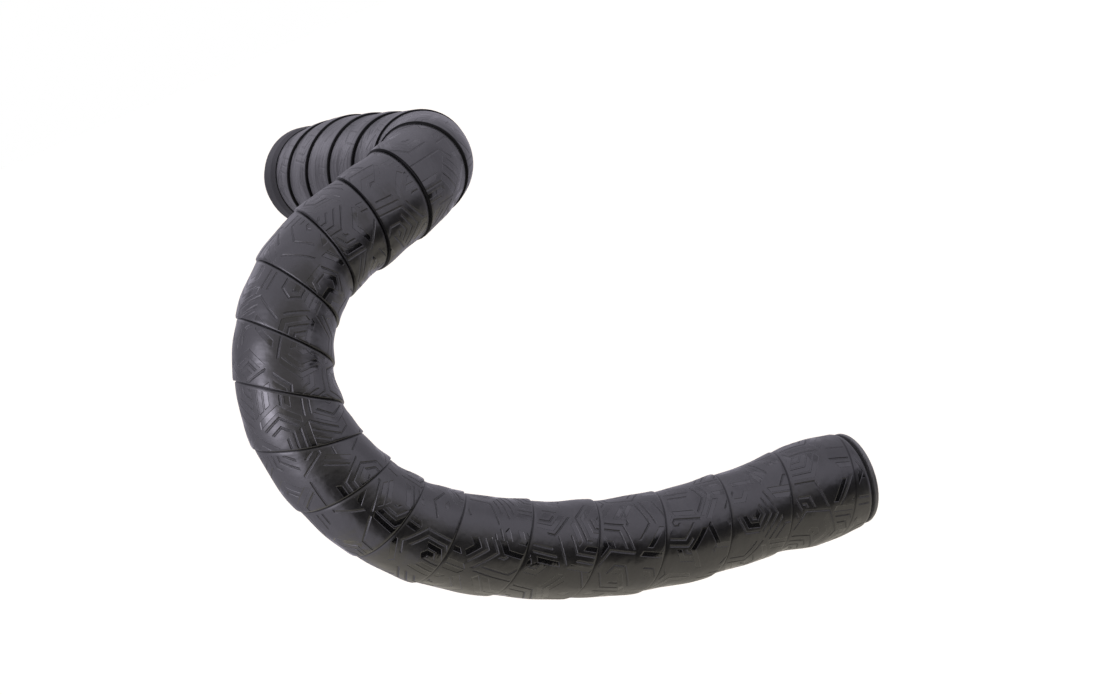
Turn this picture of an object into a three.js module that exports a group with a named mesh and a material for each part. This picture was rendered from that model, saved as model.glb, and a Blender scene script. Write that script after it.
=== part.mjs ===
// Left side of a racing bicycle's drop handlebar, wound with padded grip tape.
// Sizes are in millimetres. +X points inboard to the stem, +Y forward and +Z up.
// The origin is the centre of the bar's square cut end on the stem side.
import * as THREE from "three";
import { mergeVertices } from "three/addons/utils/BufferGeometryUtils.js";

// Centre line of the bar, from the stem side to the drop end
const topsLength = 91;
const cornerRadius = 29;
const rampLength = 21;
const rampSlope = 11;
const hookRadius = 48;
const hookAngle = 89;
const lowerHookRadius = 69;
const lowerHookAngle = 43;
const dropRadius = 198;
const dropAngle = 27;
const dropEndLength = 49;
const flareAngle = 10;

// Bar tube
const barDiameter = 23.8;
const stemEndDiameter = 29.4;
const stemEndLength = 45;
const tubeWall = 2;

// Running clearance between pieces that touch on the real bar
const clearance = 0.3;

// Grip tape
const tapeWidth = 30;
const tapeThickness = 2.9;
const edgeHeight = 0.7;
const edgeRunLength = 0.5;
const loosePitch = 23.5;
const looseTurns = 5;
const stepEndDepth = 10;
const tightPitch = 16.5;
const bareStubLength = 7.5;
const startBulgeHeight = 2;
const bulgeRest = 0.5;
const bulgeCrestDepth = 12;
const bulgeFootDepth = 18;
const bulgeEndDepth = 32;
const foldRounding = 3;
const tuckThickness = 1.8;
const tuckDepth = 14;

// Finishing tape over the inboard end of the wrap
const bandThickness = 0.8;
const bandTapeWidth = 8;
const bandBarWidth = 3.4;
const pressedThickness = 1.7;
const pressedLength = 24;
const stepFadeLength = 6;

// Push-in plug at the drop end
const capDiameter = 30.8;
const capRimHeight = 1.4;
const capDomeHeight = 2;
const barrelLength = 22;
const barrelWall = 2.2;
const ribCount = 3;
const ribHeight = 0.8;
const ribLength = 3;

// Facets. Each strip has rows of points at these parts of a turn from its visible edge.
const stripParts = [0.3, 0.55, 0.8];
const sides = 24;
const bendStep = 10;
const domeSteps = 4;
const roundSteps = 3;
const mergeDistance = 1e-4;
const shortestFacet = 0.3;

const degree = Math.PI / 180;
const fullTurn = 2 * Math.PI;

// Centre line made of straights and bends, with a frame that turns with it
class Route {
  constructor(centre, along, across) {
    this.tip = { centre, along, across };
    this.stretches = [];
    this.length = 0;
  }

  straight(length) {
    this.addStretch({ length, radius: Infinity });
  }

  bend(radius, angle, axis) {
    this.addStretch({ length: radius * angle * degree, radius, axis });
  }

  addStretch(shape) {
    const stretch = { ...shape, ...this.tip, start: this.length };
    this.stretches.push(stretch);
    this.length += shape.length;
    this.tip = frameOn(stretch, shape.length);
  }

  // Frame at a distance from the stem side. Past the ends, the end stretches run on.
  at(distance) {
    const last = this.stretches.length - 1;
    const index = this.stretches.findIndex((one) => distance < one.start + one.length);
    const stretch = this.stretches[index < 0 ? last : index];
    return frameOn(stretch, distance - stretch.start);
  }

  // Distances of the rings that a loft between two places needs
  stations(from, to) {
    const places = [from, to];
    for (const stretch of this.stretches) {
      const bent = Number.isFinite(stretch.radius);
      const angle = bent ? stretch.length / stretch.radius / degree : 0;
      const count = Math.max(1, Math.ceil(angle / bendStep));
      for (let step = 0; step < count; step += 1) {
        places.push(stretch.start + (stretch.length * step) / count);
      }
    }
    const kept = places.filter((place) => place >= from && place <= to);
    kept.sort((a, b) => a - b);
    return kept.filter((place, index) => index === 0 || place - kept[index - 1] > mergeDistance);
  }
}

function frameOn(stretch, distance) {
  const { centre, along, across, radius, axis } = stretch;
  if (!axis) {
    return { centre: centre.clone().addScaledVector(along, distance), along, across };
  }
  const middle = axis.clone().cross(along).multiplyScalar(radius).add(centre);
  const angle = distance / radius;
  return {
    centre: centre.clone().sub(middle).applyAxisAngle(axis, angle).add(middle),
    along: along.clone().applyAxisAngle(axis, angle),
    across: across.clone().applyAxisAngle(axis, angle),
  };
}

// Tops run outboard, the corner turns them forward, and the hook and drop lie in one flared plane
function barRoute() {
  const outboard = new THREE.Vector3(-1, 0, 0);
  const slope = rampSlope * degree;
  const forward = new THREE.Vector3(0, Math.cos(slope), -Math.sin(slope));
  const cornerAxis = outboard.clone().cross(forward).normalize();
  const dropAxis = outboard.clone().applyAxisAngle(forward, flareAngle * degree);
  const across = dropAxis.clone().applyAxisAngle(cornerAxis, -Math.PI / 2);
  const route = new Route(new THREE.Vector3(), outboard, across);
  route.straight(stemEndLength);
  route.straight(topsLength - stemEndLength);
  route.bend(cornerRadius, 90, cornerAxis);
  route.straight(rampLength);
  route.bend(hookRadius, hookAngle, dropAxis);
  route.bend(lowerHookRadius, lowerHookAngle, dropAxis);
  route.bend(dropRadius, dropAngle, dropAxis);
  route.straight(dropEndLength);
  return route;
}

const route = barRoute();
const barRadius = barDiameter / 2;
const boreEndRadius = barRadius - tubeWall;
const tubeEnd = route.length;
const foldFace = tubeEnd + clearance + tuckThickness;
const liningOuter = boreEndRadius - clearance;
const liningInner = liningOuter - tuckThickness;
const bandEdge = bareStubLength + bandTapeWidth;
const climbPart = edgeRunLength / tightPitch;

// The tube is thickest near the stem, and narrows in a cone from there to the corner
function tubeRadius(distance) {
  const cone = (topsLength - distance) / (topsLength - stemEndLength);
  const swell = THREE.MathUtils.clamp(cone, 0, 1);
  return barRadius + ((stemEndDiameter - barDiameter) / 2) * swell;
}

// The finishing tape presses the padding thin, and the wrap springs back beyond it
function tapeBase(distance) {
  const spring = THREE.MathUtils.smoothstep(distance, bandEdge, bandEdge + pressedLength);
  const thickness = THREE.MathUtils.lerp(pressedThickness, tapeThickness, spring);
  return tubeRadius(distance) + clearance + thickness;
}

// Points of one round section of the bar. The last point is the first one again.
function ring(distance, radius) {
  const { centre, along, across } = route.at(distance);
  const lift = across.clone().cross(along);
  const points = [];
  for (let side = 0; side < sides; side += 1) {
    const angle = (fullTurn * side) / sides;
    points.push(
      centre.clone()
        .addScaledVector(across, radius * Math.cos(angle))
        .addScaledVector(lift, radius * Math.sin(angle)),
    );
  }
  return [...points, points[0]];
}

// Triangles between two rows of points, facing out where the second row is nearer the drop end
function joinRows(first, second, corners) {
  for (let side = 0; side < sides; side += 1) {
    corners.push(first[side], second[side], second[side + 1]);
    corners.push(first[side], second[side + 1], first[side + 1]);
  }
}

function joinAll(rows, corners) {
  for (let index = 1; index < rows.length; index += 1) {
    joinRows(rows[index - 1], rows[index], corners);
  }
}

// One closed body from triangles that share their points, without those that have no area
function closedBody(corners) {
  const points = [...new Set(corners)];
  const order = new Map(points.map((point, index) => [point, index]));
  const kept = [];
  for (let corner = 0; corner < corners.length; corner += 3) {
    const triangle = corners.slice(corner, corner + 3);
    if (new Set(triangle).size === 3) {
      kept.push(...triangle.map((point) => order.get(point)));
    }
  }
  const geometry = new THREE.BufferGeometry().setFromPoints(points);
  geometry.setIndex(kept);
  geometry.computeVertexNormals();
  return geometry;
}

// Bent tube, open at both ends
function tubeGeometry() {
  const stations = route.stations(0, tubeEnd);
  const outside = stations.map((place) => ring(place, tubeRadius(place)));
  const bore = stations.map((place) => ring(place, tubeRadius(place) - tubeWall)).reverse();
  const corners = [];
  joinAll([...outside, ...bore, outside[0]], corners);
  return closedBody(corners);
}

// Turns of tape wound on, counted from the fold at the drop end
function turnsAt(distance) {
  const wound = foldFace - distance - tapeWidth;
  const loose = looseTurns * loosePitch;
  if (wound < loose) {
    return 1 + wound / loosePitch;
  }
  return 1 + looseTurns + (wound - loose) / tightPitch;
}

function placeOfTurn(turn) {
  const done = turn - 1;
  const loose = Math.min(done, looseTurns) * loosePitch;
  const tight = Math.max(done - looseTurns, 0) * tightPitch;
  return foldFace - tapeWidth - loose - tight;
}

// Height of a strip over the bare wrap: it climbs its visible edge and then sinks to the next one
function stripRise(turn) {
  const part = turn - Math.floor(turn);
  if (part < climbPart) {
    return part / climbPart;
  }
  return 1 - THREE.MathUtils.smoothstep(part, 0, 1);
}

// The first strip is doubled where it is folded in, so the wrap bulges there
function bulgeAt(distance) {
  const depth = foldFace - distance;
  const swell = THREE.MathUtils.smoothstep(depth, 0, bulgeCrestDepth);
  const sink = 1 - THREE.MathUtils.smoothstep(depth, bulgeFootDepth, bulgeEndDepth);
  return startBulgeHeight * sink * (bulgeRest + (1 - bulgeRest) * swell);
}

// The strips' edges die out under the finishing tape and where the tape turns in
function tapeRadius(distance, turn) {
  const fromBand = THREE.MathUtils.smoothstep(distance, bandEdge, bandEdge + stepFadeLength);
  const fromFold = THREE.MathUtils.smoothstep(foldFace - distance, stepEndDepth, tapeWidth);
  const rise = edgeHeight * fromBand * fromFold * stripRise(turn);
  return tapeBase(distance) + bulgeAt(distance) + rise;
}

// Point on a winding helix, held between the two plain ends of the wrap
function windingPoint(turn, side, ends) {
  const place = placeOfTurn(turn - side / sides);
  if (place < ends.from + shortestFacet) {
    return ends.stemRing[side];
  }
  if (place > ends.to - shortestFacet) {
    return ends.foldRing[side];
  }
  return ring(place, tapeRadius(place, turn))[side];
}

// Outside of the wrap: rows follow the strips' edges, which run round the bar as a helix
function windingRows(ends) {
  const parts = [0, climbPart, ...stripParts];
  const firstTurn = Math.floor(turnsAt(ends.to)) - 1;
  const lastTurn = Math.ceil(turnsAt(ends.from)) + 1;
  const rows = [];
  for (let turn = firstTurn; turn <= lastTurn; turn += 1) {
    for (const part of parts) {
      const row = [];
      for (let side = 0; side < sides; side += 1) {
        row.push(windingPoint(turn + part, side, ends));
      }
      const turnBefore = rows[rows.length - parts.length] ?? ends.foldRing;
      rows.push([...row, turnBefore[0]]);
    }
  }
  return rows.reverse();
}

// Rounded shoulder, flat fold and lining: the start of the tape is tucked into the bore
function tuckRows() {
  const shoulderStart = foldFace - foldRounding;
  const shoulder = tapeRadius(shoulderStart, 0);
  const rows = [];
  for (let step = 1; step <= roundSteps; step += 1) {
    const angle = ((Math.PI / 2) * step) / roundSteps;
    const place = shoulderStart + foldRounding * Math.sin(angle);
    rows.push(ring(place, shoulder - foldRounding * (1 - Math.cos(angle))));
  }
  rows.push(ring(foldFace, liningInner + tuckThickness / 2));
  rows.push(ring(foldFace - tuckThickness / 2, liningInner));
  rows.push(ring(tubeEnd - tuckDepth, liningInner));
  rows.push(ring(tubeEnd - tuckDepth, liningOuter));
  rows.push(ring(tubeEnd + clearance, liningOuter));
  return rows;
}

// All turns of the tape as one body
function tapeGeometry() {
  const from = bareStubLength;
  const to = foldFace - foldRounding;
  const stemRing = ring(from, tapeRadius(from, turnsAt(from)));
  const foldRing = ring(to, tapeRadius(to, turnsAt(to)));
  const outside = windingRows({ from, to, stemRing, foldRing });
  const innerPlaces = route.stations(bareStubLength, tubeEnd + clearance).reverse();
  const inside = innerPlaces.map((place) => ring(place, tubeRadius(place) + clearance));
  const corners = [];
  joinAll([...outside, ...tuckRows(), ...inside, outside[0]], corners);
  return closedBody(corners);
}

// Turned body about the bar's own axis at a place, from points of radius and distance along the bar
function turnedGeometry(profile) {
  const points = profile.map(([radius, distance]) => new THREE.Vector2(radius, distance));
  const turned = new THREE.LatheGeometry([...points, points[0]], sides);
  turned.deleteAttribute("normal");
  turned.deleteAttribute("uv");
  const merged = mergeVertices(turned, mergeDistance);
  merged.computeVertexNormals();
  return merged;
}

// The turned body's corners lie in line with those of the rings round the bar
function turnedMesh(geometry, material, place) {
  const { centre, along, across } = route.at(place);
  const sideways = along.clone().cross(across);
  const mesh = new THREE.Mesh(geometry, material);
  mesh.position.copy(centre);
  mesh.setRotationFromMatrix(new THREE.Matrix4().makeBasis(sideways, along, across));
  return mesh;
}

// Thin band wound half over the tape's last turn and half on the bare bar
function bandProfile() {
  const barInside = tubeRadius(bareStubLength) + clearance;
  const tapeInside = tapeBase(bareStubLength) + clearance;
  const step = bareStubLength - clearance;
  const start = bareStubLength - bandBarWidth;
  return [
    [tubeRadius(start) + clearance, start],
    [tubeRadius(start) + clearance + bandThickness, start],
    [barInside + bandThickness, step - 2 * bandThickness],
    [tapeInside + bandThickness, step - bandThickness / 2],
    [tapeInside + bandThickness, bandEdge],
    [tapeInside, bandEdge],
    [tapeInside, step],
    [tubeRadius(start) + clearance, step],
  ];
}

// Domed cap with a ribbed hollow barrel, pressed into the tucked tape
function plugProfile() {
  const underside = clearance;
  const capRadius = capDiameter / 2;
  const ribRadius = liningInner - clearance;
  const barrelRadius = ribRadius - ribHeight;
  const boreRadius = barrelRadius - barrelWall;
  const tip = underside - barrelLength;
  const dome = [];
  for (let step = 0; step <= domeSteps; step += 1) {
    const angle = ((Math.PI / 2) * step) / domeSteps;
    dome.push([capRadius * Math.cos(angle), underside + capRimHeight + capDomeHeight * Math.sin(angle)]);
  }
  const ribs = [];
  const ribPitch = (barrelLength - ribLength) / ribCount;
  for (let rib = 0; rib < ribCount; rib += 1) {
    const back = tip + rib * ribPitch;
    ribs.push([barrelRadius, back], [ribRadius, back + ribLength], [barrelRadius, back + ribLength]);
  }
  return [
    [0, underside - barrelWall],
    [boreRadius, underside - barrelWall],
    [boreRadius, tip],
    ...ribs,
    [barrelRadius, underside],
    [capRadius, underside],
    ...dome,
  ];
}

const tapeMaterial = new THREE.MeshStandardMaterial({
  color: 0x38383c,
  roughness: 0.42,
  metalness: 0,
});
const bandMaterial = new THREE.MeshStandardMaterial({
  color: 0x2c2c2f,
  roughness: 0.5,
  metalness: 0,
});
const plugMaterial = new THREE.MeshStandardMaterial({
  color: 0x3a3a3c,
  roughness: 0.35,
  metalness: 0,
});
const tubeMaterial = new THREE.MeshStandardMaterial({
  color: 0x4a4b4e,
  roughness: 0.4,
  metalness: 0.9,
});

const tube = new THREE.Mesh(tubeGeometry(), tubeMaterial);
tube.name = "handlebar_tube";

const tape = new THREE.Mesh(tapeGeometry(), tapeMaterial);
tape.name = "bar_tape";

const band = turnedMesh(turnedGeometry(bandProfile()), bandMaterial, 0);
band.name = "finishing_tape";

const plug = turnedMesh(turnedGeometry(plugProfile()), plugMaterial, foldFace);
plug.name = "bar_end_plug";

const handlebar = new THREE.Group();
handlebar.add(tube, tape, band, plug);

export default handlebar;
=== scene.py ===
"""Left side of a drop handlebar wound with embossed grip tape: its surfaces, studio and camera."""
import math
from typing import NamedTuple

import bpy
import numpy as np
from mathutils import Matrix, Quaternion, Vector


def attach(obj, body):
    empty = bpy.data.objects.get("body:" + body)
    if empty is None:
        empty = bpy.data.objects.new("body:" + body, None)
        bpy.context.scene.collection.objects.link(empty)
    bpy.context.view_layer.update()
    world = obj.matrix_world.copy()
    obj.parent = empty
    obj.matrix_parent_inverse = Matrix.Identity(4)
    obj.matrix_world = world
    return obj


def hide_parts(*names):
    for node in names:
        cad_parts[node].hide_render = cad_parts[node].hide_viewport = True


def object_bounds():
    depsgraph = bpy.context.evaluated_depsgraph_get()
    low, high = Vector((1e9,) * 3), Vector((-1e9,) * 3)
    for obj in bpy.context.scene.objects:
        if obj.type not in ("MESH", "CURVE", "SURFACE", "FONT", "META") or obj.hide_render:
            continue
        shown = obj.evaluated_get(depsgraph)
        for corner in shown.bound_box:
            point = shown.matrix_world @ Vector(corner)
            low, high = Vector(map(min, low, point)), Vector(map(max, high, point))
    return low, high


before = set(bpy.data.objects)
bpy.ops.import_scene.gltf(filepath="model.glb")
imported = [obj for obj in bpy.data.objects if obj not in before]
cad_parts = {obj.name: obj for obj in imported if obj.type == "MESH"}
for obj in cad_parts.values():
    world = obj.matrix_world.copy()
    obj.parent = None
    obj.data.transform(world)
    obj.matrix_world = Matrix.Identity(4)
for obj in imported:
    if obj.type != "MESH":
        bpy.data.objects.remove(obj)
cad_low, cad_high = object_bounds()

# Centre line of the bar from the stem side to the drop end, in metres and degrees
TOPS_LENGTH = 0.091
CORNER_RADIUS = 0.029
RAMP_LENGTH = 0.021
RAMP_SLOPE = 11
HOOK_RADIUS = 0.048
HOOK_ANGLE = 89
LOWER_HOOK_RADIUS = 0.069
LOWER_HOOK_ANGLE = 43
DROP_RADIUS = 0.198
DROP_ANGLE = 27
DROP_END_LENGTH = 0.049
FLARE_ANGLE = 10

# Bar tube
BAR_RADIUS = 0.0119
STEM_END_RADIUS = 0.0147
STEM_END_LENGTH = 0.045
TUBE_WALL = 0.002
CLEARANCE = 0.0003

# Grip tape
TAPE_WIDTH = 0.030
TAPE_THICKNESS = 0.0029
EDGE_HEIGHT = 0.0006
LOOSE_PITCH = 0.0235
LOOSE_TURNS = 5
TIGHT_PITCH = 0.0165
STEP_END_DEPTH = 0.010
BARE_STUB = 0.0075
START_BULGE = 0.002
BULGE_REST = 0.5
BULGE_CREST_DEPTH = 0.012
BULGE_FOOT_DEPTH = 0.018
BULGE_END_DEPTH = 0.032
FOLD_ROUNDING = 0.003
FOLD_RUN = 0.0025
TUCK_THICKNESS = 0.0018
TUCK_DEPTH = 0.014

# Finishing band and plug
BAND_THICKNESS = 0.0008
BAND_ON_TAPE = 0.008
BAND_ON_BAR = 0.0034
BAND_SKIVE = 0.003
BAND_RIM = 0.0002
BAND_LIFT = 0.00005
BAND_ROUNDING = 0.0004
STEP_FADE = 0.006
PRESSED_THICKNESS = 0.0017
PRESSED_LENGTH = 0.024
CAP_RADIUS = 0.0154
CAP_RIM = 0.0014
CAP_DOME = 0.002
BARREL_LENGTH = 0.022
BARREL_WALL = 0.0022
RIB_COUNT = 3
RIB_HEIGHT = 0.0008
RIB_LENGTH = 0.003

# Section across one strip: distance from its visible edge, and height as a share of the edge's
EDGE_SECTION = ((0, 0), (0.00008, 0.3), (0.0002, 0.75), (0.00045, 0.93), (0.0009, 1.0))

# Crevice beside each edge, deeper on the tops than on the drop, and the wider gap beside it, which looks
# dark partly from its shape and partly from painted shade in the tape's material
CREVICE_RUN = 0.00035
CREVICE_EDGE_RUN = 0.0002
CREVICE_DEPTH = 0.0005
SHALLOW_CREVICE = 0.35
CREVICE_FADE = (0.17, 0.30)
WIDE_GAP_RUN = 0.0011

# Marks of the faces in that gap, written as metres below 0 in the coordinate across the strip; the
# tape's material paints shade on the marked faces
GAP_MARK = 1
FOOT_MARK = 2
ROUNDING_MARK = 3

# Slow unevenness of tape wound by hand, with its waves' rate, start and share
EDGE_WANDER = 0.02
EDGE_WAVES = ((0.37, 0, 0.6), (0.83, 1.7, 0.4))
THICKNESS_WANDER = 0.00012
THICKNESS_RATE = 1.31

# Strips pulled askew where they go round the hook, and a little on the tops
HOOK_LEAN = 0.0042
HOOK_LEAN_PLACE = 0.216
HOOK_LEAN_REACH = 0.026
TOPS_LEAN = -0.0016
TOPS_LEAN_FADE = (0.14, 0.18)

# Mesh fineness
COLUMNS = 120
BEND_STEP = 4
SHORTEST_FACET = 0.0002
SLOPE_ROWS = 17
FOLD_STEPS = 8
DOME_STEPS = 10
FILLET_STEPS = 4
FILLET_REACH = 0.45

# Camera: aim point, where it stands from it, its roll and its lens
CAMERA_AIM = Vector((-0.11043, -0.00984, -0.07317))
CAMERA_AZIMUTH = -116.98
CAMERA_ELEVATION = 10.78
CAMERA_ROLL = 22.26
CAMERA_DISTANCE = 0.8854
CAMERA_LENS = 88.48
SENSOR_WIDTH = 36
CLIP_START = 0.01

FULL_TURN = 2 * math.pi


# Geometry of the bar

def turned(vector, axis, angles):
    """One vector turned about a unit axis by each of several angles."""
    cos, sin = np.cos(angles)[:, None], np.sin(angles)[:, None]
    return vector * cos + np.cross(axis, vector) * sin + axis * (vector @ axis) * (1 - cos)


class Route:
    """Straights and bends in a row, with a frame that turns with them."""

    def __init__(self, centre, along, across):
        self.tip = (centre, along, across)
        self.stretches = []
        self.length = 0

    def straight(self, length):
        self.add(length, None, None)

    def bend(self, radius, angle, axis):
        self.add(radius * math.radians(angle), radius, axis)

    def add(self, length, radius, axis):
        stretch = (self.length, length, radius, axis, *self.tip)
        self.stretches.append(stretch)
        self.length += length
        self.tip = tuple(part[0] for part in self.on_stretch(stretch, np.array([length])))

    def on_stretch(self, stretch, distances):
        """Centres and directions at distances from the start of one straight or bend."""
        radius, axis, centre, along, across = stretch[2:]
        ones = np.ones((len(distances), 1))
        if axis is None:
            return centre + along * distances[:, None], along * ones, across * ones
        middle = centre + np.cross(axis, along) * radius
        angles = distances / radius
        centres = middle + turned(centre - middle, axis, angles)
        return centres, turned(along, axis, angles), turned(across, axis, angles)

    def frames(self, places):
        """Centre, direction along and direction across at each place."""
        result = np.zeros((3, len(places), 3))
        starts = np.array([stretch[0] for stretch in self.stretches])
        which = np.clip(np.searchsorted(starts, places, side="right") - 1, 0, None)
        for index, stretch in enumerate(self.stretches):
            here = which == index
            parts = self.on_stretch(stretch, places[here] - stretch[0])
            for slot, part in enumerate(parts):
                result[slot][here] = part
        return result

    def stations(self, low, high):
        """Places of the rings that a loft between two places needs."""
        places = [low, high]
        for start, length, radius, *_ in self.stretches:
            angle = math.degrees(length / radius) if radius else 0
            count = max(1, math.ceil(angle / BEND_STEP))
            places += [start + length * step / count for step in range(count)]
        kept = sorted(place for place in places if low <= place <= high)
        return [p for i, p in enumerate(kept) if i == 0 or p - kept[i - 1] > SHORTEST_FACET]


def bar_route():
    """The bar's centre line from the stem side to the drop end."""
    slope, flare = math.radians(RAMP_SLOPE), math.radians(FLARE_ANGLE)
    outboard = np.array([-1.0, 0.0, 0.0])
    forward = np.array([0.0, math.cos(slope), -math.sin(slope)])
    corner_axis = np.cross(outboard, forward)
    drop_axis = turned(outboard, forward, np.array([flare]))[0]
    across = turned(drop_axis, corner_axis, np.array([-math.pi / 2]))[0]
    made = Route(np.zeros(3), outboard, across)
    made.straight(TOPS_LENGTH)
    made.bend(CORNER_RADIUS, 90, corner_axis)
    made.straight(RAMP_LENGTH)
    made.bend(HOOK_RADIUS, HOOK_ANGLE, drop_axis)
    made.bend(LOWER_HOOK_RADIUS, LOWER_HOOK_ANGLE, drop_axis)
    made.bend(DROP_RADIUS, DROP_ANGLE, drop_axis)
    made.straight(DROP_END_LENGTH)
    return made


route = bar_route()
TUBE_END = route.length
FOLD_FACE = TUBE_END + CLEARANCE + TUCK_THICKNESS
LINING_OUTER = BAR_RADIUS - TUBE_WALL - CLEARANCE
LINING_INNER = LINING_OUTER - TUCK_THICKNESS
BAND_EDGE = BARE_STUB + BAND_ON_TAPE


def smoothstep(value, low, high):
    share = np.clip((value - low) / (high - low), 0, 1)
    return share * share * (3 - 2 * share)


def tube_radius(places):
    """The tube is thickest near the stem, and narrows in a cone from there to the corner."""
    cone = (TOPS_LENGTH - np.asarray(places)) / (TOPS_LENGTH - STEM_END_LENGTH)
    return BAR_RADIUS + (STEM_END_RADIUS - BAR_RADIUS) * np.clip(cone, 0, 1)


def tape_base(places):
    """The finishing tape presses the padding thin, and the wrap springs back beyond it."""
    spring = smoothstep(places, BAND_EDGE, BAND_EDGE + PRESSED_LENGTH)
    thickness = PRESSED_THICKNESS + (TAPE_THICKNESS - PRESSED_THICKNESS) * spring
    return tube_radius(places) + CLEARANCE + thickness


def on_bar(places, radii, angles):
    """Points at a distance along the bar, a radius and an angle round it."""
    centre, along, across = route.frames(places)
    lift = np.cross(across, along)
    cos, sin = np.cos(angles)[:, None], np.sin(angles)[:, None]
    return centre + radii[:, None] * (cos * across + sin * lift)


def turns_at(places):
    """Turns of tape wound from the drop end to each place along the bar."""
    wound = FOLD_FACE - places - TAPE_WIDTH
    loose = LOOSE_TURNS * LOOSE_PITCH
    return 1 + np.minimum(wound, loose) / LOOSE_PITCH + np.maximum(wound - loose, 0) / TIGHT_PITCH


def place_of_turn(turns):
    """Place along the bar that a number of turns has reached."""
    done = turns - 1
    loose = np.minimum(done, LOOSE_TURNS) * LOOSE_PITCH
    tight = np.maximum(done - LOOSE_TURNS, 0) * TIGHT_PITCH
    return FOLD_FACE - TAPE_WIDTH - loose - tight


def strip_rise(turns):
    """Height of a strip over the bare wrap, as a share of the edge's height."""
    across = (turns - np.floor(turns)) * TIGHT_PITCH
    knots, heights = zip(*EDGE_SECTION)
    edge = np.interp(across, knots, heights)
    slope = 1 - smoothstep(across, knots[-1], TIGHT_PITCH - CREVICE_RUN)
    return np.where(across < knots[-1], edge, slope)


def crevice(turns, places):
    """Depth of the dark gap under a strip's edge."""
    across = (turns - np.floor(turns)) * TIGHT_PITCH
    near_side = 1 - smoothstep(across, 0, CREVICE_EDGE_RUN)
    far_side = smoothstep(across, TIGHT_PITCH - CREVICE_RUN, TIGHT_PITCH)
    deep = 1 - (1 - SHALLOW_CREVICE) * smoothstep(places, *CREVICE_FADE)
    return CREVICE_DEPTH * deep * np.maximum(near_side, far_side)


def bulge_at(places):
    """How far the first turns stand up over the folded end."""
    depth = FOLD_FACE - places
    swell = smoothstep(depth, 0, BULGE_CREST_DEPTH)
    sink = 1 - smoothstep(depth, BULGE_FOOT_DEPTH, BULGE_END_DEPTH)
    return START_BULGE * sink * (BULGE_REST + (1 - BULGE_REST) * swell)


def edge_fade(places):
    """The strips' edges fade out under the band and at the fold."""
    from_band = smoothstep(places, BAND_EDGE, BAND_EDGE + STEP_FADE)
    return from_band * smoothstep(FOLD_FACE - places, STEP_END_DEPTH, TAPE_WIDTH)


def strip_angle(turns, angles):
    """How far along the wound strip a point is, as an angle, the same on both sides of the seam."""
    return FULL_TURN * turns - angles


def wander(turns, angles):
    """How far a strip's edge strays, as a share of the most that it may."""
    way = strip_angle(turns, angles)
    return sum(np.sin(way * rate + start) * share for rate, start, share in EDGE_WAVES)


def leaning(places, angles):
    """Places along the bar moved forward on one side of it and back on the other."""
    hook = HOOK_LEAN * np.exp(-((places - HOOK_LEAN_PLACE) / HOOK_LEAN_REACH) ** 2)
    tops = TOPS_LEAN * (1 - smoothstep(places, *TOPS_LEAN_FADE))
    return places + (hook + tops) * np.sin(angles)


def tape_radius(places, turns, angles):
    """Distance of the wrap's outside from the centre line."""
    fade = edge_fade(places)
    rise = fade * (EDGE_HEIGHT * strip_rise(turns) - crevice(turns, places))
    uneven = THICKNESS_WANDER * fade * np.sin(strip_angle(turns, angles) * THICKNESS_RATE)
    return tape_base(places) + bulge_at(places) + rise + uneven


# Mesh building

class Shell:
    """Points and faces of one piece, with strip coordinates on the face corners."""

    def __init__(self):
        self.points = []
        self.count = 0
        self.faces = []
        self.corners = []

    def add(self, points):
        """Numbers of some new points."""
        first = self.count
        self.points.append(points)
        self.count += len(points)
        return np.arange(first, self.count)

    def ring(self, place, radius):
        """Numbers of the points of one ring. The last is the first again."""
        if radius == 0:
            centre = route.frames(np.array([place]))[0]
            return np.repeat(self.add(centre), COLUMNS + 1)
        angles = FULL_TURN * np.arange(COLUMNS) / COLUMNS
        row = self.add(on_bar(np.full(COLUMNS, place), np.full(COLUMNS, radius), angles))
        return np.append(row, row[0])

    def join(self, first, second, first_strip=None, second_strip=None):
        """Faces between two rows of points. On an outside the second is nearer the drop end."""
        for side in range(COLUMNS):
            face = [first[side], second[side], second[side + 1], first[side + 1]]
            strip = [(0, 0)] * 4
            if first_strip is not None:
                strip = [first_strip[side], second_strip[side]]
                strip += [second_strip[side + 1], first_strip[side + 1]]
            kept = [i for i in range(4) if face[i] != face[i - 1]]
            if len(kept) > 2:
                self.faces.append([int(face[i]) for i in kept])
                self.corners += [strip[i] for i in kept]

    def join_all(self, rows):
        for first, second in zip(rows, rows[1:]):
            self.join(first, second)

    def build(self, name):
        mesh = bpy.data.meshes.new(name)
        mesh.from_pydata(np.concatenate(self.points).tolist(), [], self.faces)
        layer = mesh.uv_layers.new(name="strip")
        layer.data.foreach_set("uv", np.array(self.corners, dtype=np.float32).ravel())
        mesh.polygons.foreach_set("use_smooth", [True] * len(mesh.polygons))
        mesh.update()
        piece = bpy.data.objects.new(name, mesh)
        bpy.context.scene.collection.objects.link(piece)
        return piece


def fillet(profile, rounding):
    """Closed profile with its corners rounded, as far as the sides beside each corner allow."""
    result = []
    for index, corner in enumerate(profile):
        corner = np.array(corner)
        before = np.array(profile[index - 1]) - corner
        after = np.array(profile[(index + 1) % len(profile)]) - corner
        sizes = np.linalg.norm(before), np.linalg.norm(after)
        reach = min(rounding, sizes[0] * FILLET_REACH, sizes[1] * FILLET_REACH)
        start = corner + before / sizes[0] * reach
        end = corner + after / sizes[1] * reach
        for step in range(FILLET_STEPS + 1):
            share = step / FILLET_STEPS
            bow = (1 - share) ** 2 * start + 2 * share * (1 - share) * corner + share ** 2 * end
            result.append(tuple(bow))
    return result


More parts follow.
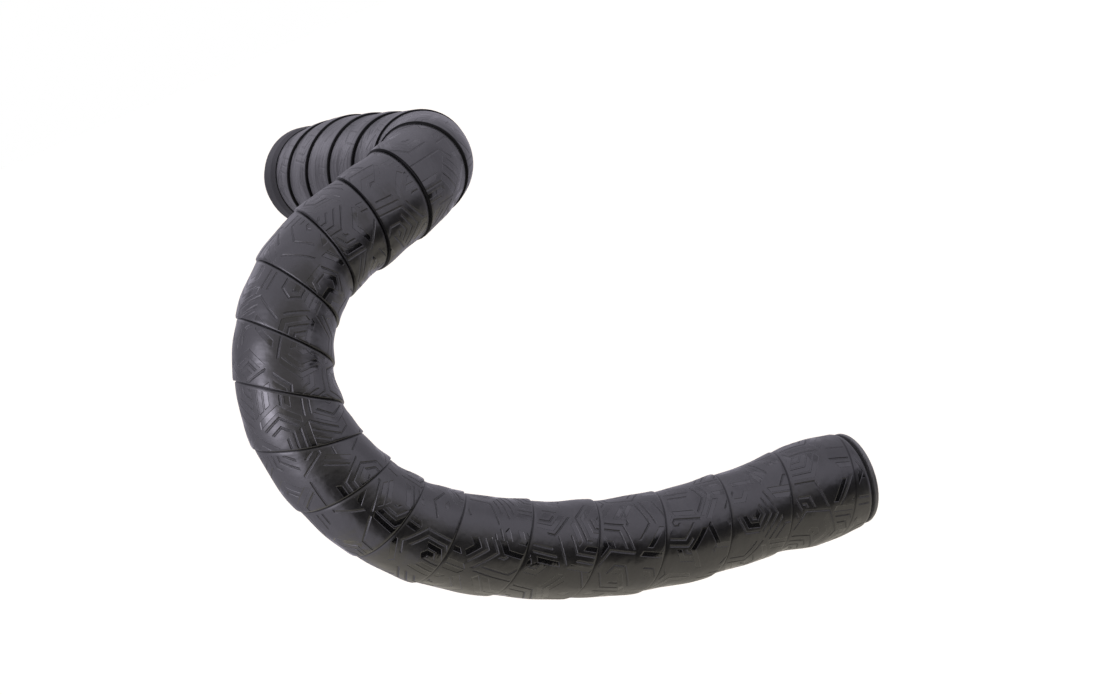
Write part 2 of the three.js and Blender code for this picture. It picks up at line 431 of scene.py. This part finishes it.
def strip_places(row_turns, strip, angles, places):
    """Coordinates on the flat strip: along it and across it from its visible edge."""
    along = BAR_RADIUS + TAPE_THICKNESS
    tilt = TIGHT_PITCH / (FULL_TURN * along)
    u = along * (FULL_TURN * strip - angles) - places * tilt
    pitch = np.where(row_turns < 1 + LOOSE_TURNS, LOOSE_PITCH, TIGHT_PITCH)
    v = (row_turns - strip) * pitch
    return np.stack([u, np.broadcast_to(v, u.shape)], axis=1)


def row_parts():
    """Shares of a turn where rows of points lie, and the mark of the faces after each row."""
    edge = [knot / TIGHT_PITCH for knot, _ in EDGE_SECTION]
    slope = np.linspace(edge[-1], 1 - WIDE_GAP_RUN / TIGHT_PITCH, SLOPE_ROWS + 1)[1:]
    parts = edge + slope.tolist() + [1 - CREVICE_RUN / TIGHT_PITCH]
    at_edge = [GAP_MARK, ROUNDING_MARK, ROUNDING_MARK]
    at_foot = [FOOT_MARK, GAP_MARK]
    unmarked = [0] * (len(parts) - len(at_edge) - len(at_foot))
    return parts, at_edge + unmarked + at_foot


class Row(NamedTuple):
    """Numbers of a row's points, the turn that it belongs to, and its places along the bar."""
    points: np.ndarray
    turn: float
    places: np.ndarray


def strip_rows(shell, parts, low, high, stem_ring, fold_ring):
    """Rows of points that follow the strips' edges, from the drop end on."""
    first_turn = math.floor(turns_at(high)) - 1
    last_turn = math.ceil(turns_at(low)) + 1
    share = np.arange(COLUMNS + 1) / COLUMNS
    angles = FULL_TURN * share
    rows = []
    for turn in range(first_turn, last_turn + 1):
        for part in parts:
            here = turn + part
            shift = EDGE_WANDER * wander(here, angles)
            places = leaning(place_of_turn(here - share + shift), angles)
            at_stem = places < low + SHORTEST_FACET
            at_fold = places > high - SHORTEST_FACET
            places = np.clip(places, low, high)
            outside = on_bar(places, tape_radius(places, here, angles), angles)
            points = np.where(at_stem, stem_ring, np.where(at_fold, fold_ring, -1))
            free = np.flatnonzero(points[:-1] < 0)
            points[free] = shell.add(outside[free])
            points[-1] = rows[-len(parts)].points[0] if len(rows) >= len(parts) else fold_ring[0]
            rows.append(Row(points, here, places))
    return rows


def winding(shell, low, high, stem_ring, fold_ring):
    """Outside of the wrap, with its strip coordinates and the marks of the gap beside each edge, where
    the material paints shade.
    """
    parts, marks = row_parts()
    share = np.arange(COLUMNS + 1) / COLUMNS
    rows = strip_rows(shell, parts, low, high, stem_ring, fold_ring)
    for index, (before, after) in enumerate(zip(rows, rows[1:])):
        strip = math.floor((before.turn + after.turn) / 2)
        mark = marks[index % len(marks)]
        flats = []
        for row in (after, before):
            turns = turns_at(row.places) + share
            flat = strip_places(turns, strip, FULL_TURN * share, row.places)
            if mark:
                flat[:, 1] = -mark
            flats.append(flat)
        shell.join(after.points, before.points, *flats)


def tuck_profile(low):
    """Inside of the wrap: the end folded into the bore, then back along the tube to the stem side."""
    profile = [(FOLD_FACE, LINING_INNER + TUCK_THICKNESS / 2)]
    profile += [(FOLD_FACE - TUCK_THICKNESS / 2, LINING_INNER)]
    profile += [(TUBE_END - TUCK_DEPTH, LINING_INNER), (TUBE_END - TUCK_DEPTH, LINING_OUTER)]
    profile += [(TUBE_END + CLEARANCE, LINING_OUTER)]
    inner = reversed(route.stations(low, TUBE_END + CLEARANCE))
    return profile + [(place, float(tube_radius(place)) + CLEARANCE) for place in inner]


def grip_tape():
    low, high = BARE_STUB, FOLD_FACE - FOLD_RUN
    shell = Shell()
    shoulder = float(tape_base(high) + bulge_at(high))
    stem_ring = shell.ring(low, float(tape_base(low)))
    fold_ring = shell.ring(high, shoulder)
    winding(shell, low, high, stem_ring, fold_ring)
    profile = []
    for step in range(1, FOLD_STEPS + 1):
        angle = math.pi / 2 * step / FOLD_STEPS
        place = high + FOLD_RUN * math.sin(angle)
        profile.append((place, shoulder - FOLD_ROUNDING * (1 - math.cos(angle))))
    profile += tuck_profile(low)
    rows = [shell.ring(place, radius) for place, radius in profile]
    shell.join_all([fold_ring] + rows + [stem_ring])
    return shell.build("grip_tape")


def loft(name, profile, closed=True):
    """Piece round the centre line. A profile that isn't closed starts and ends on that line."""
    shell = Shell()
    rows = [shell.ring(place, radius) for place, radius in profile]
    shell.join_all(rows + rows[:1] if closed else rows)
    return shell.build(name)


def finishing_band():
    start = BARE_STUB - BAND_ON_BAR
    step = BARE_STUB - CLEARANCE
    on_bar_inside = float(tube_radius(start)) + CLEARANCE
    on_tape_inside = float(tape_base(BARE_STUB)) + BAND_LIFT
    profile = [
        (start, on_bar_inside),
        (start, on_bar_inside + BAND_THICKNESS),
        (step - 2 * BAND_THICKNESS, on_bar_inside + BAND_THICKNESS),
        (step - BAND_THICKNESS / 2, on_tape_inside + BAND_THICKNESS),
        (BAND_EDGE - BAND_SKIVE, on_tape_inside + BAND_THICKNESS),
        (BAND_EDGE, on_tape_inside + BAND_RIM),
        (BAND_EDGE, on_tape_inside),
        (step, on_tape_inside),
        (step, on_bar_inside),
    ]
    return loft("finishing_band", fillet(profile, BAND_ROUNDING))


def ribbed_barrel(tip, barrel, rib_radius):
    """Outside of the plug's barrel, with ribs that slope towards its tip."""
    pitch = (BARREL_LENGTH - RIB_LENGTH) / RIB_COUNT
    profile = []
    for rib in range(RIB_COUNT):
        back = tip + rib * pitch
        profile += [(back, barrel), (back + RIB_LENGTH, rib_radius), (back + RIB_LENGTH, barrel)]
    return profile


def cap_profile(underside):
    """Rim and dome of the plug's cap, to the middle of its face."""
    profile = [(underside, CAP_RADIUS), (underside + CAP_RIM, CAP_RADIUS)]
    for step in range(1, DOME_STEPS + 1):
        angle = math.pi / 2 * step / DOME_STEPS
        rise = CAP_DOME * math.sin(angle)
        profile.append((underside + CAP_RIM + rise, CAP_RADIUS * math.cos(angle)))
    profile[-1] = (profile[-1][0], 0)
    return profile


def end_plug():
    underside = FOLD_FACE + CLEARANCE
    rib_radius = LINING_INNER - CLEARANCE
    barrel = rib_radius - RIB_HEIGHT
    tip = underside - BARREL_LENGTH
    bore = barrel - BARREL_WALL
    profile = [(underside - BARREL_WALL, 0), (underside - BARREL_WALL, bore), (tip, bore)]
    profile += ribbed_barrel(tip, barrel, rib_radius)
    profile += [(underside, barrel)] + cap_profile(underside)
    return loft("end_plug", profile, closed=False)


def bar_tube():
    stations = route.stations(0, TUBE_END)
    outside = [(place, float(tube_radius(place))) for place in stations]
    bore = [(place, radius - TUBE_WALL) for place, radius in reversed(outside)]
    return loft("bar_tube", outside + bore)


# Materials

class Node:
    """A number in a material's node tree that sums can be written with."""

    def __init__(self, tree, socket):
        self.tree = tree
        self.socket = socket

    def make(self, operation, *others):
        node = self.tree.nodes.new("ShaderNodeMath")
        node.operation = operation
        self.tree.links.new(self.socket, node.inputs[0])
        for slot, other in enumerate(others, start=1):
            if isinstance(other, Node):
                self.tree.links.new(other.socket, node.inputs[slot])
            else:
                node.inputs[slot].default_value = other
        return Node(self.tree, node.outputs[0])

    def __add__(self, other):
        return self.make("ADD", other)

    def __sub__(self, other):
        return self.make("SUBTRACT", other)

    def __mul__(self, other):
        return self.make("MULTIPLY", other)

    def __truediv__(self, other):
        return self.make("DIVIDE", other)

    def floor(self):
        return self.make("FLOOR")

    def part(self):
        return self.make("FRACT")

    def absolute(self):
        return self.make("ABSOLUTE")

    def above(self, limit):
        return self.make("GREATER_THAN", limit)

    def below(self, limit):
        return self.make("LESS_THAN", limit)

    def choose(self, yes, no):
        """yes where this is 1 and no where it is 0."""
        return no + (yes - no) * self

    def rest(self):
        """What this leaves of 1."""
        return self * -1.0 + 1.0

    def ramp(self, low, high):
        node = self.tree.nodes.new("ShaderNodeMapRange")
        node.interpolation_type = "SMOOTHSTEP"
        self.tree.links.new(self.socket, node.inputs["Value"])
        node.inputs["From Min"].default_value = low
        node.inputs["From Max"].default_value = high
        return Node(self.tree, node.outputs["Result"])


def new_material(name):
    material = bpy.data.materials.new(name)
    material.use_nodes = True
    tree = material.node_tree
    return material, tree, tree.nodes["Principled BSDF"]


def noise(tree, scale, detail=2, roughness=0.5, vector=None):
    """Noise over the piece, or over coordinates of its own."""
    if vector is None:
        vector = tree.nodes.new("ShaderNodeTexCoord").outputs["Object"]
    texture = tree.nodes.new("ShaderNodeTexNoise")
    texture.inputs["Scale"].default_value = scale
    texture.inputs["Detail"].default_value = detail
    texture.inputs["Roughness"].default_value = roughness
    tree.links.new(vector, texture.inputs["Vector"])
    return Node(tree, texture.outputs["Fac"])


def colour_between(tree, share, dark, light):
    mix = tree.nodes.new("ShaderNodeMix")
    mix.data_type = "RGBA"
    mix.inputs["A"].default_value = (*dark, 1)
    mix.inputs["B"].default_value = (*light, 1)
    tree.links.new(share.socket, mix.inputs["Factor"])
    return mix.outputs["Result"]


def bump(tree, height, distance, strength, below=None):
    node = tree.nodes.new("ShaderNodeBump")
    node.inputs["Distance"].default_value = distance
    node.inputs["Strength"].default_value = strength
    tree.links.new(height.socket, node.inputs["Height"])
    if below is not None:
        tree.links.new(below, node.inputs["Normal"])
    return node.outputs["Normal"]


def chance(tree, *values):
    """The same random share for the same whole numbers."""
    join = tree.nodes.new("ShaderNodeCombineXYZ")
    for slot, value in enumerate(values):
        tree.links.new(value.socket, join.inputs[slot])
    texture = tree.nodes.new("ShaderNodeTexWhiteNoise")
    texture.noise_dimensions = "3D"
    tree.links.new(join.outputs[0], texture.inputs["Vector"])
    return Node(tree, texture.outputs["Value"])


# Embossed pattern, in millimetres and shares of a cell: hexagons of three rhombs, each filled with
# lines that meet its neighbours'. A line is drawn from its low to its high end, both shifted by a random
# share of the span
MILLIMETRES = 1000
CELL_WIDTH = 17
HEXAGON_TALL = math.sqrt(3)
RHOMBS = 3
RHOMB_ANGLE = FULL_TURN / RHOMBS
FIRST_RHOMB = 0.75
LINES = 4
LINE_HALF = 0.02
LINE_SOFT = 0.2
LINE_SHARE = 0.66
LINE_SPAN = 2.0
LINE_LOW = -1.5
LINE_HIGH = 0.45
LINE_FADE = 0.04
BAR_SHARE = 0.27
BAR_HALF = 0.33
BAR_SOFT = 0.09
BAR_REACH = (0.1, 0.9)
BAR_FADE = 0.03

# Shares from which a rhomb's lines cross it the other way, turn once, and turn round its far corner
CROSSED_FROM = 0.22
BENT_FROM = 0.45
FAR_BENT_FROM = 0.78

# Steps and starts of the random shares for a rhomb's kind, the lines drawn and where they are cut
KIND_SEED = (3.1, 5.3, 11.0)
DRAW_SEED = (0.37, 3.7)
CUT_SEED = (0.51, 9.1)

# Where looks change along the strip, in millimetres wound from the drop end
HOOK_WOUND = (480, 1180)
RAMP_WOUND = (1050, 1300)
TOPS_WOUND = (1200, 1600)
CORNER_WOUND = (1400, 1650)

# Look of the grip tape. Names with TOPS or DROP are the share of a look that is left there, and clouds,
# folds and grain are a noise's scale, detail and roughness
SPECULAR_LEVEL = 1.0
# Painted shade in the gap beside each strip's edge: the share of shine it takes away, and the share of
# that left on the drop
GAP_PAINTED_SHADE = 0.92
DROP_GAP_SHADE = 0.6
TOPS_LINES = 0.35
STREAK_LENGTH = 17
STREAK_WIDTH = 2.4
DROP_STREAKS = 0.25
TAPE_CLOUDS = (60, 3)
TAPE_FOLDS = (170, 2)
TAPE_GRAIN = (2600, 2, 0.6)
TAPE_SHADES = (0.35, 0.65)
TAPE_COLOURS = ((0.006, 0.006, 0.0065), (0.010, 0.010, 0.0105))
TAPE_ROUGHNESS = 0.22
CLOUD_ROUGHNESS = 0.16
GRAIN_ROUGHNESS = 0.06
LINE_ROUGHNESS = 0.25
BAR_ROUGHNESS = 0.04
BAR_GRAIN_ROUGHNESS = 0.03

# Distance and strength of its bumps
FOLD_BUMP = (0.0005, 0.6)
STREAK_BUMP = (0.0005, 0.8)
GRAIN_BUMP = (0.00003, 0.5)
RELIEF_BUMP = (0.00028, 1.0)
BAR_DEPTH = 0.5

# Looks of the plainer pieces
PLAIN_SHADES = (0.3, 0.7)
BAND_LOOK = {
    "colours": ((0.010, 0.010, 0.011), (0.016, 0.016, 0.017)),
    "clouds": (140, 3),
    "grain": (1500, 2),
    "roughness": 0.44,
    "cloud_roughness": 0.14,
    "grain_roughness": 0,
    "specular": 0.4,
    "metallic": 0,
    "bump": (0.00005, 0.5),
}
PLUG_LOOK = {
    "colours": ((0.08, 0.08, 0.081), (0.11, 0.11, 0.112)),
    "clouds": (90, 2),
    "grain": (3000, 1),
    "roughness": 0.3,
    "cloud_roughness": 0,
    "grain_roughness": 0.12,
    "specular": SPECULAR_LEVEL,
    "metallic": 0,
    "bump": (0.00003, 0.4),
}
TUBE_LOOK = {
    "colours": ((0.26, 0.26, 0.27), (0.34, 0.34, 0.35)),
    "clouds": (50, 3),
    "grain": (1800, 2),
    "roughness": 0.3,
    "cloud_roughness": 0,
    "grain_roughness": 0.15,
    "specular": 0.5,
    "metallic": 1,
    "bump": (0.00003, 0.4),
}


def hexagon_cells(x, y):
    """Place inside the nearest hexagon, in cell widths, and the hexagon's number."""
    x, y = x / CELL_WIDTH, y / CELL_WIDTH
    half_tall = HEXAGON_TALL / 2
    first = (x.floor() + 0.5, (y / HEXAGON_TALL).floor() + 0.5)
    second = ((x - 0.5).floor() + 1.0, ((y - half_tall) / HEXAGON_TALL).floor() + 1.0)
    one = (x - first[0], y - first[1] * HEXAGON_TALL)
    two = (x - second[0], y - second[1] * HEXAGON_TALL)
    near = (one[0] * one[0] + one[1] * one[1]) - (two[0] * two[0] + two[1] * two[1])
    is_one = near.below(0.0)
    place = tuple(is_one.choose(a, b) for a, b in zip(one, two))
    number = tuple(is_one.choose(a, b) for a, b in zip(first, second))
    return place, number


def rhomb_places(place):
    """Which of the hexagon's three rhombs a place is in, and its share along both their edges."""
    turn = place[1].make("ARCTAN2", place[0]) / FULL_TURN + FIRST_RHOMB
    turn = turn.part() * float(RHOMBS)
    angle = turn.part() * RHOMB_ANGLE
    reach = (place[0] * place[0] + place[1] * place[1]).make("SQRT") * HEXAGON_TALL
    beta = reach * angle.make("SINE") / math.sin(RHOMB_ANGLE)
    alpha = reach * angle.make("COSINE") + beta * 0.5
    return turn.floor(), alpha, beta


def strip_coordinates(tree):
    """Millimetres along the wound strip, from the drop end, and across it."""
    uv = tree.nodes.new("ShaderNodeUVMap")
    uv.uv_map = "strip"
    split = tree.nodes.new("ShaderNodeSeparateXYZ")
    tree.links.new(uv.outputs["UV"], split.inputs[0])
    return tuple(Node(tree, split.outputs[axis]) * MILLIMETRES for axis in "XY")


def mark_limit(mark):
    """Millimetres across the strip under which a face has this mark or a higher one."""
    return (0.5 - mark) * MILLIMETRES


def rhomb_pattern(tree, number, rhomb, alpha, beta):
    """Place across a rhomb's lines, counted in lines, and place along them."""
    across, up, start = KIND_SEED
    kind = chance(tree, number[0] * across, number[1] * up, rhomb + start)
    bent = kind.above(BENT_FROM)
    near, far = alpha.make("MAXIMUM", beta), alpha.make("MINIMUM", beta)
    crossed = kind.above(CROSSED_FROM)
    level = bent.choose(kind.above(FAR_BENT_FROM).choose(far, near), crossed.choose(alpha, beta))
    along = bent.choose((beta - alpha) * 0.5 + 0.5, crossed.choose(beta, alpha))
    return level * float(LINES), along


def line_chance(tree, number, rhomb, line, seed):
    """A random share of its own for each line."""
    step, start = seed
    return chance(tree, number[0] + line * step, number[1] + start, rhomb + line * 2.0)


def stretch(along, low, high, fade):
    """1 between two places along a line, with soft ends."""
    return (along - low).ramp(0.0, fade) * (along * -1.0 + high).ramp(0.0, fade)


def stroke(off, half, soft):
    """1 up to a half width off a line's middle, with a soft side."""
    return (off * -1.0 + half + soft).ramp(0.0, soft)


def relief_lines(tree, x, y):
    """Masks of the pressed lines and of the glossy bars among them."""
    place, number = hexagon_cells(x, y)
    rhomb, alpha, beta = rhomb_places(place)
    level, along = rhomb_pattern(tree, number, rhomb, alpha, beta)
    line = level.floor()
    off = (level.part() - 0.5).absolute()
    luck = line_chance(tree, number, rhomb, line, DRAW_SEED)
    cut = line_chance(tree, number, rhomb, line, CUT_SEED) * LINE_SPAN
    on_strip = y.above(mark_limit(GAP_MARK))
    inside = stretch(along, cut + LINE_LOW, cut + LINE_HIGH, LINE_FADE)
    is_line = luck.below(LINE_SHARE) * luck.above(BAR_SHARE) * inside * on_strip
    is_bar = luck.below(BAR_SHARE) * stretch(along, *BAR_REACH, BAR_FADE) * on_strip
    return stroke(off, LINE_HALF, LINE_SOFT) * is_line, stroke(off, BAR_HALF, BAR_SOFT) * is_bar


def strip_streaks(tree, x, y):
    """Fine creases that run along the wound strip."""
    flat = tree.nodes.new("ShaderNodeCombineXYZ")
    tree.links.new((x / STREAK_LENGTH).socket, flat.inputs[0])
    tree.links.new((y / STREAK_WIDTH).socket, flat.inputs[1])
    return noise(tree, 1, vector=flat.outputs[0])


def painted_gap_shade(x, y):
    """Painted shade in the gap beside a strip's edge, as a share of its shine taken away. It is wider
    from the ramp to the tops.
    """
    depth = x.ramp(*HOOK_WOUND) * (1 - DROP_GAP_SHADE) + DROP_GAP_SHADE
    rounding = y.below(mark_limit(ROUNDING_MARK))
    opened = rounding.choose(x.ramp(*RAMP_WOUND), x.ramp(*CORNER_WOUND))
    shut = y.below(mark_limit(FOOT_MARK)) * opened.rest()
    return y.below(mark_limit(GAP_MARK)) * depth * shut.rest()


def tape_bumps(tree, streaks, grain, lines, bars):
    """Folds, creases and grain of the film, with the pressed pattern over them."""
    normal = bump(tree, noise(tree, *TAPE_FOLDS), *FOLD_BUMP)
    normal = bump(tree, streaks, *STREAK_BUMP, normal)
    normal = bump(tree, grain, *GRAIN_BUMP, normal)
    return bump(tree, lines * -1.0 - bars * BAR_DEPTH, *RELIEF_BUMP, normal)


def tape_material():
    material, tree, shader = new_material("embossed_tape")
    x, y = strip_coordinates(tree)
    tops = x.ramp(*TOPS_WOUND)
    lines, bars = relief_lines(tree, x, y)
    lines = lines * (tops * (TOPS_LINES - 1) + 1.0)
    bars = bars * tops.rest()
    streaks = strip_streaks(tree, x, y) * (tops * (1 - DROP_STREAKS) + DROP_STREAKS)
    clouds = noise(tree, *TAPE_CLOUDS)
    grain = noise(tree, *TAPE_GRAIN)
    colour = colour_between(tree, clouds.ramp(*TAPE_SHADES), *TAPE_COLOURS)
    tree.links.new(colour, shader.inputs["Base Color"])
    rough = clouds * CLOUD_ROUGHNESS + TAPE_ROUGHNESS + grain * GRAIN_ROUGHNESS
    rough = rough + lines * LINE_ROUGHNESS
    rough = bars.choose(grain * BAR_GRAIN_ROUGHNESS + BAR_ROUGHNESS, rough)
    tree.links.new(rough.socket, shader.inputs["Roughness"])
    # Painted shade: the specular level falls in the gap beside each strip's edge, so that the gap looks
    # dark
    level = (painted_gap_shade(x, y) * -GAP_PAINTED_SHADE + 1.0) * SPECULAR_LEVEL
    tree.links.new(level.socket, shader.inputs["Specular IOR Level"])
    normal = tape_bumps(tree, streaks, grain, lines, bars)
    tree.links.new(normal, shader.inputs["Normal"])
    return material


def plain_material(name, look):
    """Colour and gloss that vary a little, over a fine grain."""
    material, tree, shader = new_material(name)
    clouds = noise(tree, *look["clouds"])
    grain = noise(tree, *look["grain"])
    colour = colour_between(tree, clouds.ramp(*PLAIN_SHADES), *look["colours"])
    tree.links.new(colour, shader.inputs["Base Color"])
    rough = clouds * look["cloud_roughness"] + grain * look["grain_roughness"] + look["roughness"]
    tree.links.new(rough.socket, shader.inputs["Roughness"])
    shader.inputs["Specular IOR Level"].default_value = look["specular"]
    shader.inputs["Metallic"].default_value = look["metallic"]
    tree.links.new(bump(tree, grain, *look["bump"]), shader.inputs["Normal"])
    return material


# Studio

FLOOR_GAP = 0.16
FLOOR_HEIGHT = cad_low.z - FLOOR_GAP
FLOOR_SIZE = 14
FLOOR_COLOUR = (0.84, 0.79, 0.70)
FLOOR_GLOW = 0.3
FLOOR_ROUGHNESS = 0.9
SKY_COLOUR = (0.93, 0.89, 1.04)
AMBIENT = 0.45
KEY_STRENGTH = 1.9
KEY_SPREAD = 50
KEY_TILT = (20, -12, 0)
WHITE = (1, 1, 1, 1)
BLACK = (0, 0, 0, 1)

# What the bar's shine shows round it: a table and a wall. Arcs are degrees from the camera's side, where
# a zone starts, is full, is full no more and ends. A hot spot is its angle, spread, height, reach and
# strength
WALL_DISTANCE = 0.42
WALL_TOP = 0.36
WALL_RINGS = 40
GREY_ARC = (-34, -24, 28, 48)
GREY_RISE = (-0.14, 0.04)
GREY_GLOW = 0.5
DARK_ARC = (5, 20, 76, 96)
DARK_RISE = (-0.13, -0.03)
BACK_ARC = (76, 96, 250, 280)
BACK_GLOW = 0.62
HOT_SPOTS = ((-48, 14, 0.09, 0.15, 4.4), (-140, 14, 0.24, 0.13, 1.0))
TABLE_START = 0.01
TABLE_RINGS = 24
TABLE_LIFT = 0.002
TABLE_FOOT = (0.33, 0.355)
TABLE_GLOW = 0.62
TABLE_TINT = (1.05, 0.98, 0.86)
LIT_TABLE_ARC = (-150, -130, -50, -34)
LIT_TABLE_GLOW = 0.85
SURROUND_COLUMNS = 120


def seen_directly(tree):
    """1 for camera, glossy and transmission rays, which see the white background."""
    path = tree.nodes.new("ShaderNodeLightPath")
    seen = Node(tree, path.outputs["Is Camera Ray"])
    for ray in ("Is Glossy Ray", "Is Transmission Ray"):
        seen = seen.make("MAXIMUM", Node(tree, path.outputs[ray]))
    return seen


def white_world():
    world = bpy.data.worlds.new("studio")
    world.use_nodes = True
    bpy.context.scene.world = world
    tree = world.node_tree
    background = tree.nodes["Background"]
    path = tree.nodes.new("ShaderNodeLightPath")
    camera = Node(tree, path.outputs["Is Camera Ray"])
    tree.links.new(colour_between(tree, camera, SKY_COLOUR, WHITE[:3]), background.inputs["Color"])
    strength = seen_directly(tree) * (1 - AMBIENT) + AMBIENT
    tree.links.new(strength.socket, background.inputs["Strength"])


def pale_floor():
    mesh = bpy.data.meshes.new("floor")
    half = FLOOR_SIZE / 2
    corners = [(-half, -half), (half, -half), (half, half), (-half, half)]
    mesh.from_pydata([(x, y, FLOOR_HEIGHT) for x, y in corners], [], [(0, 1, 2, 3)])
    floor = bpy.data.objects.new("floor", mesh)
    bpy.context.scene.collection.objects.link(floor)
    material, tree, shader = new_material("pale_floor")
    shader.inputs["Base Color"].default_value = (*FLOOR_COLOUR, 1)
    shader.inputs["Roughness"].default_value = FLOOR_ROUGHNESS
    shader.inputs["Specular IOR Level"].default_value = 0
    shader.inputs["Emission Color"].default_value = WHITE
    glow = seen_directly(tree) * FLOOR_GLOW
    tree.links.new(glow.socket, shader.inputs["Emission Strength"])
    mesh.materials.append(material)


def toward_camera(angle, distance):
    """Place on the ground plan at an angle from the camera's side, round the object's middle."""
    turn = math.radians(CAMERA_AZIMUTH + angle)
    return CAMERA_AIM.x + math.sin(turn) * distance, CAMERA_AIM.y - math.cos(turn) * distance


def within(angle, arc):
    """1 inside an arc of the studio and 0 outside it, with soft ends."""
    return smoothstep(angle, *arc[:2]) * (1 - smoothstep(angle, *arc[2:]))


def wall_colour(angle, height):
    """Grey and dark zones of the wall, hot spots, and white elsewhere."""
    grey = within(angle, GREY_ARC) * (1 - GREY_GLOW * smoothstep(height, *GREY_RISE))
    dark = within(angle, DARK_ARC) * (1 - smoothstep(height, *DARK_RISE))
    back = within(angle % 360, BACK_ARC) * (1 - BACK_GLOW)
    hot = 0
    for middle, spread, rise, reach, strength in HOT_SPOTS:
        across, up = (angle - middle) / spread, (height - rise) / reach
        hot += strength * math.exp(-across * across - up * up)
    tint = np.array(SKY_COLOUR) * (1 - grey) + np.array(TABLE_TINT) * grey
    return tint * (1 - max(grey, dark, back) + hot)


def table_colour(angle, radius):
    """The table is grey, lighter on one side, and runs into the wall's foot."""
    lit = within(angle, LIT_TABLE_ARC) * (LIT_TABLE_GLOW - TABLE_GLOW)
    table = np.array(TABLE_TINT) * (TABLE_GLOW + lit)
    foot = smoothstep(radius, *TABLE_FOOT)
    return table * (1 - foot) + wall_colour(angle, FLOOR_HEIGHT) * foot


def surround_profile():
    """Radii and heights of the rings of the table and the wall."""
    ground = FLOOR_HEIGHT + TABLE_LIFT
    table = [(radius, ground) for radius in np.linspace(TABLE_START, WALL_DISTANCE, TABLE_RINGS)]
    heights = np.linspace(ground, WALL_TOP, WALL_RINGS)[1:]
    return table, [(WALL_DISTANCE, height) for height in heights]


def surround_mesh():
    """Table and wall with their light as a colour at each point."""
    table, wall = surround_profile()
    points, colours, faces = [], [], []
    for ring, (radius, height) in enumerate(table + wall):
        for column in range(SURROUND_COLUMNS):
            angle = 360 * column / SURROUND_COLUMNS - 180
            points.append((*toward_camera(angle, radius), height))
            on_table = ring < len(table)
            colour = table_colour(angle, radius) if on_table else wall_colour(angle, height)
            colours.append((*colour, 1))
    for ring in range(len(table + wall) - 1):
        for column in range(SURROUND_COLUMNS):
            here = ring * SURROUND_COLUMNS + column
            after = ring * SURROUND_COLUMNS + (column + 1) % SURROUND_COLUMNS
            faces.append((here, after, after + SURROUND_COLUMNS, here + SURROUND_COLUMNS))
    mesh = bpy.data.meshes.new("surround")
    mesh.from_pydata(points, [], faces)
    layer = mesh.color_attributes.new("glow", "FLOAT_COLOR", "POINT")
    layer.data.foreach_set("color", np.array(colours, dtype=np.float32).ravel())
    return mesh


def surround_material():
    material, tree, shader = new_material("surround")
    glow = tree.nodes.new("ShaderNodeVertexColor")
    glow.layer_name = "glow"
    tree.links.new(glow.outputs["Color"], shader.inputs["Emission Color"])
    shader.inputs["Emission Strength"].default_value = 1
    shader.inputs["Base Color"].default_value = BLACK
    shader.inputs["Specular IOR Level"].default_value = 0
    return material


def reflected_surround():
    """Table and wall round the object that only its shine shows."""
    surround = bpy.data.objects.new("surround", surround_mesh())
    bpy.context.scene.collection.objects.link(surround)
    surround.data.materials.append(surround_material())
    surround.visible_camera = False
    surround.visible_diffuse = False
    surround.visible_shadow = False


def key_light():
    lamp = bpy.data.lights.new("key", "SUN")
    lamp.energy = KEY_STRENGTH
    lamp.angle = math.radians(KEY_SPREAD)
    light = bpy.data.objects.new("key", lamp)
    light.rotation_euler = [math.radians(angle) for angle in KEY_TILT]
    light.visible_glossy = False
    bpy.context.scene.collection.objects.link(light)


def add_camera():
    azimuth, elevation = math.radians(CAMERA_AZIMUTH), math.radians(CAMERA_ELEVATION)
    level = math.cos(elevation)
    back = Vector((math.sin(azimuth) * level, -math.cos(azimuth) * level, math.sin(elevation)))
    data = bpy.data.cameras.new("camera")
    data.lens = CAMERA_LENS
    data.sensor_width = SENSOR_WIDTH
    data.clip_start = CLIP_START
    camera = bpy.data.objects.new("camera", data)
    camera.location = CAMERA_AIM + back * CAMERA_DISTANCE
    camera.rotation_mode = "QUATERNION"
    roll = Quaternion((0, 0, 1), math.radians(-CAMERA_ROLL))
    camera.rotation_quaternion = (-back).to_track_quat("-Z", "Y") @ roll
    bpy.context.scene.collection.objects.link(camera)
    bpy.context.scene.camera = camera


def dress(piece, node, material, weighted=True):
    """Gives a piece its material, hangs it on the root body and hides the part's node that it takes the
    place of.
    """
    piece.data.materials.append(material)
    if weighted:
        normals = piece.modifiers.new("normals", "WEIGHTED_NORMAL")
        normals.keep_sharp = True
    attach(piece, "root")
    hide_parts(node)


add_camera()
dress(grip_tape(), "bar_tape", tape_material(), weighted=False)
dress(finishing_band(), "finishing_tape", plain_material("satin_film", BAND_LOOK))
dress(end_plug(), "bar_end_plug", plain_material("moulded_plastic", PLUG_LOOK))
dress(bar_tube(), "handlebar_tube", plain_material("anodised_alloy", TUBE_LOOK))
white_world()
pale_floor()
reflected_surround()
key_light()

bpy.context.scene.view_settings.view_transform = "Standard"
